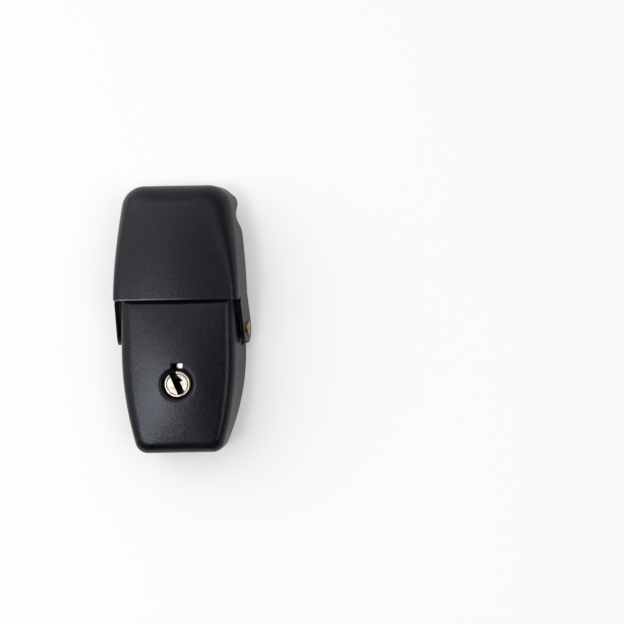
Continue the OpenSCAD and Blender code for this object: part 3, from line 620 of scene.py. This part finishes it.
def turnedNickelPlate():
    look = turnedNickel
    material, tree = startMaterial("nickel_plated_brass_turned")
    place = addNode(tree, "ShaderNodeTexCoord").outputs["Object"]
    onAxis = addNode(tree, "ShaderNodeMapping", {
        "Location": (0.0, -plugY * mm, 0.0)}, {"Vector": place})
    rings = addNode(tree, "ShaderNodeTexWave", {
        "wave_type": "RINGS", "rings_direction": "Z", "Distortion": look["ringWaver"],
        "Scale": perMm(look["ringMm"]) / waveRepeats}, {"Vector": onAxis.outputs["Vector"]})
    smear = addNode(tree, "ShaderNodeTexNoise", {
        "Scale": perMm(look["smearMm"]), "Detail": look["smearDetail"]}, {"Vector": place})
    axes = addNode(tree, "ShaderNodeSeparateXYZ", links={"Vector": place})
    plugTop = boxMm("key_plug")[1][2]
    # painted shade: below the face the colour turns near black, for the shade in the slot and round
    # the rim
    aboveShade = addNode(tree, "ShaderNodeMapRange", {
        "From Min": (plugTop - look["slotShadeTop"]) * mm, "From Max": (plugTop - look["slotShadeFade"]) * mm,
    }, {"Value": axes.outputs["Z"]})
    plate = addNode(tree, "ShaderNodeMix", {
        "data_type": "RGBA", 6: linearColour(look["bright"]), 7: linearColour(look["dull"]),
    }, {0: smear.outputs["Fac"]})
    colour = addNode(tree, "ShaderNodeMix", {"data_type": "RGBA", 6: linearColour(look["slotShade"])}, {
        0: aboveShade.outputs["Result"], 7: plate.outputs[2]})
    polish = addNode(tree, "ShaderNodeMapRange", {
        "To Min": look["rough"][0], "To Max": look["rough"][1]}, {"Value": smear.outputs["Fac"]})
    rough = addNode(tree, "ShaderNodeMix", {"data_type": "FLOAT", 2: look["slotShadeRough"]}, {
        0: aboveShade.outputs["Result"], 3: polish.outputs["Result"]})
    bump = addNode(tree, "ShaderNodeBump", {
        "Strength": bumpStrength, "Distance": look["ringHeight"] * mm,
    }, {"Height": rings.outputs["Fac"]})
    metal = addNode(tree, "ShaderNodeBsdfPrincipled", {"Metallic": 1.0}, {
        "Base Color": colour.outputs[2], "Roughness": rough.outputs[0],
        "Normal": bump.outputs["Normal"]})
    addNode(tree, "ShaderNodeOutputMaterial", links={"Surface": metal.outputs["BSDF"]})
    return material


# die-cast zinc housing, kept dark all over as painted shade in the gap round the plug and in the
# notch;
# its lug's top has a bright spot in the middle, a painted highlight that also stands for rubbing;
# the spot's place is measured in mm from the plug's axis
castHousing = dict(
    # the two dark tones, mixed at random, are painted shade: they keep the whole housing near black
    shadeTone="#2b2b2b", deepShadeTone="#1c1c1d", rough=(0.42, 0.6), grainMm=0.4, grainDetail=3.0,
    grainHeight=0.004, bright="#b5b1a9", polished=0.24,
    # painted highlight, partly rubbing: place of the bright spot on the lug's top and the distances
    # in mm where it starts and is full
    rubbedHighlightX=0.85, rubbedHighlightY=4.75, rubbedHighlightEdge=1.05, rubbedHighlightFull=0.45,
)


def castZinc():
    look = castHousing
    material, tree = startMaterial("zinc_die_cast_painted_shade_lug_highlight")
    place = addNode(tree, "ShaderNodeTexCoord").outputs["Object"]
    lugTop = boxMm("cylinder_housing")[1][2]
    rubbedHighlightCentre = (look["rubbedHighlightX"] * mm, (plugY + look["rubbedHighlightY"]) * mm, lugTop * mm)
    away = addNode(tree, "ShaderNodeVectorMath", {"operation": "DISTANCE", 1: rubbedHighlightCentre}, {0: place})
    grain = addNode(tree, "ShaderNodeTexNoise", {
        "Scale": perMm(look["grainMm"]), "Detail": look["grainDetail"]}, {"Vector": place})
    # painted highlight: a bright round spot on the lug's top
    rubbedHighlightSpot = addNode(tree, "ShaderNodeMapRange", {
        "From Min": look["rubbedHighlightEdge"] * mm, "From Max": look["rubbedHighlightFull"] * mm,
    }, {"Value": away.outputs["Value"]})
    # painted shade: the whole housing stays dark
    dull = addNode(tree, "ShaderNodeMix", {
        "data_type": "RGBA", 6: linearColour(look["shadeTone"]), 7: linearColour(look["deepShadeTone"]),
    }, {0: grain.outputs["Fac"]})
    colour = addNode(tree, "ShaderNodeMix", {
        "data_type": "RGBA", 7: linearColour(look["bright"]),
    }, {0: rubbedHighlightSpot.outputs["Result"], 6: dull.outputs[2]})
    dullRough = addNode(tree, "ShaderNodeMapRange", {
        "To Min": look["rough"][0], "To Max": look["rough"][1]}, {"Value": grain.outputs["Fac"]})
    rough = addNode(tree, "ShaderNodeMix", {"data_type": "FLOAT", 3: look["polished"]}, {
        0: rubbedHighlightSpot.outputs["Result"], 2: dullRough.outputs["Result"]})
    bump = addNode(tree, "ShaderNodeBump", {
        "Strength": bumpStrength, "Distance": look["grainHeight"] * mm,
    }, {"Height": grain.outputs["Fac"]})
    metal = addNode(tree, "ShaderNodeBsdfPrincipled", {"Metallic": 1.0}, {
        "Base Color": colour.outputs[2], "Roughness": rough.outputs[0],
        "Normal": bump.outputs["Normal"]})
    addNode(tree, "ShaderNodeOutputMaterial", links={"Surface": metal.outputs["BSDF"]})
    return material


# other metals: light and dark tone, roughness low and high, streak size along x, y and z in mm,
# streak height in mm; streaks long one way come from drawing or rolling, even ones from plating
metals = dict(
    # warm, with drawn lines along the pin
    brass_rod_drawn=("#bf9361", "#9d7449", (0.34, 0.48), (6.0, 0.12, 0.12), 0.002),
    # dark: aged brass darkened further as painted shade of the deep key slot, with sheared edges
    # and faint lines
    brass_sheet_stamped_painted_shade=("#2e2514", "#1c170d", (0.38, 0.54), (0.2, 1.6, 0.2), 0.002),
    # cool, with a cloudy passivation
    zinc_plated_steel=("#c3c7ca", "#a2a8ad", (0.30, 0.44), (2.4, 2.4, 2.4), 0.002),
    # grey, with roll lines along the bolt
    cold_rolled_steel=("#a9aaab", "#808284", (0.28, 0.42), (0.18, 7.0, 0.18), 0.002),
    # oiled black oxide, nearly even
    blackened_steel_stamped=("#343436", "#222224", (0.34, 0.48), (0.4, 0.4, 0.4), 0.002),
    # dark, oily wire
    spring_steel_drawn=("#8f9092", "#6f7073", (0.24, 0.34), (0.1, 0.1, 0.1), 0.001),
)
streakDetail = 3.0  # octaves of noise in the streaks


def streakedMetal(name):
    light, dark, (roughLow, roughHigh), streak, height = metals[name]
    material, tree = startMaterial(name)
    place = addNode(tree, "ShaderNodeTexCoord").outputs["Object"]
    drawn = addNode(tree, "ShaderNodeMapping", {
        "Scale": tuple(perMm(s) for s in streak)}, {"Vector": place})
    lines = addNode(tree, "ShaderNodeTexNoise", {
        "Scale": 1.0, "Detail": streakDetail}, {"Vector": drawn.outputs["Vector"]}).outputs["Fac"]
    colour = addNode(tree, "ShaderNodeMix", {
        "data_type": "RGBA", 6: linearColour(light), 7: linearColour(dark)}, {0: lines})
    rough = addNode(tree, "ShaderNodeMapRange", {
        "To Min": roughLow, "To Max": roughHigh}, {"Value": lines})
    bump = addNode(tree, "ShaderNodeBump", {
        "Strength": bumpStrength, "Distance": height * mm}, {"Height": lines})
    metal = addNode(tree, "ShaderNodeBsdfPrincipled", {"Metallic": 1.0}, {
        "Base Color": colour.outputs[2], "Roughness": rough.outputs["Result"],
        "Normal": bump.outputs["Normal"]})
    addNode(tree, "ShaderNodeOutputMaterial", links={"Surface": metal.outputs["BSDF"]})
    return material


bodyPaint = satinBlackEnamel("satin_black_enamel_on_zinc")
# the cap's front cut edge gets the light grey band of wear and painted highlight
capPaint = satinBlackEnamel("satin_black_enamel_on_steel", leverCap["front"])
for painted, finish in ((bodyPiece, bodyPaint), (capPiece, capPaint)):
    painted.data.materials.clear()
    painted.data.materials.append(finish)

nodeFinish = dict(
    key_plug="turned", cylinder_housing="cast", hinge_pin="brass_rod_drawn",
    base_plate="zinc_plated_steel", strike_plate="zinc_plated_steel",
    hook_plate="zinc_plated_steel", bolt_keeper="zinc_plated_steel",
    friction_washers="blackened_steel_stamped", lock_bolt="cold_rolled_steel",
    tail_cam="cold_rolled_steel", cam_screw="zinc_plated_steel",
    housing_screws="zinc_plated_steel", keeper_rivets="zinc_plated_steel",
)
for i in range(1, 5):
    # the wafers' dark brass paints the shade down in the key slot
    nodeFinish[f"wafer_{i}"] = "brass_sheet_stamped_painted_shade"
    nodeFinish[f"wafer_spring_{i}"] = "spring_steel_drawn"
finishes = {name: streakedMetal(name) for name in metals}
finishes["turned"] = turnedNickelPlate()
finishes["cast"] = castZinc()
for name, finish in nodeFinish.items():
    thing = nodes[name]
    if not thing.material_slots:
        thing.data.materials.append(finishes[finish])
    for place in thing.material_slots:
        place.material = finishes[finish]
print("materials:", len(bpy.data.materials))

# pale floor of matt paper: no gloss, only a soft shadow; it lies just under the lock
paperFloor = dict(size=3000.0, z=-0.02, colour="#f8f8f7", glow=0.30,
                  fibreMm=0.8, fibreDetail=2.0, fibreHeight=0.01, fibreStrength=0.05)
half = paperFloor["size"] / 2
corners = ((-half, -half), (half, -half), (half, half), (-half, half))
floor = meshObject("floor", [(x, y, paperFloor["z"]) for x, y in corners], [(0, 1, 2, 3)])
paper, tree = startMaterial("matt_paper_sweep")
fibre = addNode(tree, "ShaderNodeTexNoise", {
    "Scale": perMm(paperFloor["fibreMm"]), "Detail": paperFloor["fibreDetail"]})
fibreBump = addNode(tree, "ShaderNodeBump", {
    "Strength": paperFloor["fibreStrength"], "Distance": paperFloor["fibreHeight"] * mm,
}, {"Height": fibre.outputs["Fac"]})
matt = addNode(tree, "ShaderNodeBsdfDiffuse", {
    "Color": linearColour(paperFloor["colour"])}, {"Normal": fibreBump.outputs["Normal"]})
# seen by the camera or in a gloss, the paper is part white glow, so its shadow stays
rays = addNode(tree, "ShaderNodeLightPath")
seen = rays.outputs["Is Camera Ray"]
for kind in ("Is Glossy Ray", "Is Transmission Ray"):
    seen = addNode(tree, "ShaderNodeMath", {"operation": "MAXIMUM"}, {
        0: seen, 1: rays.outputs[kind]}).outputs["Value"]
share = addNode(tree, "ShaderNodeMath", {"operation": "MULTIPLY", 1: paperFloor["glow"]}, {0: seen})
white = addNode(tree, "ShaderNodeEmission", {"Color": (1.0, 1.0, 1.0, 1.0), "Strength": 1.0})
sweep = addNode(tree, "ShaderNodeMixShader", links={
    0: share.outputs["Value"], 1: matt.outputs["BSDF"], 2: white.outputs["Emission"]})
addNode(tree, "ShaderNodeOutputMaterial", links={"Surface": sweep.outputs["Shader"]})
floor.data.materials.append(paper)

scene = bpy.context.scene
if scene.world is None:
    scene.world = bpy.data.worlds.new("studio")
scene.world.use_nodes = True
sky = scene.world.node_tree
sky.nodes.clear()
# walls and ceiling of the studio: axis of the view ray, where on it a change starts and ends,
# and the level before and after it
horizon = 0.90  # level low down, all round
room = dict(
    sides=("X", (-0.7, 0.7), (0.32, 0.08), "LINEAR"),  # bright wall on the left
    nearEnd=("Y", (-0.55, -0.15), (0.12, 1.0), "SMOOTHSTEP"),  # dark near side
    farEnd=("Y", (0.1, 0.6), (1.0, 4.0), "SMOOTHSTEP"),  # bright far wall
    ceiling=("Y", (-0.12, 0.30), (0.05, 1.28), "SMOOTHSTEP"),  # ceiling brighter to the far side
    ceilingShare=("Z", (0.45, 0.9), (0.0, 1.0), "SMOOTHSTEP"),  # walls give way to the ceiling
    wallShare=("Z", (0.06, 0.24), (0.0, 1.0), "SMOOTHSTEP"),  # horizon gives way to the walls
)
direction = addNode(sky, "ShaderNodeTexCoord").outputs["Generated"]
axes = addNode(sky, "ShaderNodeSeparateXYZ", links={"Vector": direction})
part = {}
for name, (axis, (start, end), (before, after), curve) in room.items():
    part[name] = addNode(sky, "ShaderNodeMapRange", {
        "interpolation_type": curve, "From Min": start, "From Max": end,
        "To Min": before, "To Max": after}, {"Value": axes.outputs[axis]}).outputs["Result"]
ends = addNode(sky, "ShaderNodeMath", {"operation": "MULTIPLY"}, {
    0: part["nearEnd"], 1: part["farEnd"]})
walls = addNode(sky, "ShaderNodeMath", {"operation": "MULTIPLY"}, {
    0: part["sides"], 1: ends.outputs["Value"]})
upper = addNode(sky, "ShaderNodeMix", {"data_type": "FLOAT"}, {
    0: part["ceilingShare"], 2: walls.outputs["Value"], 3: part["ceiling"]})
level = addNode(sky, "ShaderNodeMix", {"data_type": "FLOAT", 2: horizon}, {
    0: part["wallShare"], 3: upper.outputs[0]})
glow = addNode(sky, "ShaderNodeBackground", {"Color": (1.0, 1.0, 1.0, 1.0)}, {
    "Strength": level.outputs[0]})
addNode(sky, "ShaderNodeOutputWorld", links={"Surface": glow.outputs["Background"]})

# lamps, all aimed at the lock: power in watts, size and place in metres
lamps = dict(
    key=(4.1, 1.1, (-0.62, 0.16, 0.62)),
    top=(1.45, 0.18, (-0.275, -0.150, 0.80)),
    side=(1.6, 0.45, (0.57, -0.12, 0.80)),
)
for name, (power, size, place) in lamps.items():
    lamp = bpy.data.lights.new(name, "AREA")
    lamp.energy = power
    lamp.size = size
    stand = bpy.data.objects.new(name, lamp)
    stand.location = place
    stand.rotation_euler = (-Vector(place)).to_track_quat("-Z", "Y").to_euler()
    scene.collection.objects.link(stand)

# camera straight down over the middle of the picture, with the lock left of it
shot = dict(place=(0.0343, 0.00155, 0.183), turn=-1.0, lens=38.78, sensor=36.0, clipStart=0.01)
lens = bpy.data.cameras.new("camera")
lens.lens = shot["lens"]
lens.sensor_width = shot["sensor"]
lens.clip_start = shot["clipStart"]
cameraObject = bpy.data.objects.new("camera", lens)
cameraObject.location = shot["place"]
cameraObject.rotation_euler = (0, 0, math.radians(shot["turn"]))
scene.collection.objects.link(cameraObject)
scene.camera = cameraObject
scene.view_settings.view_transform = "Standard"
print("floor, lamps and camera set")
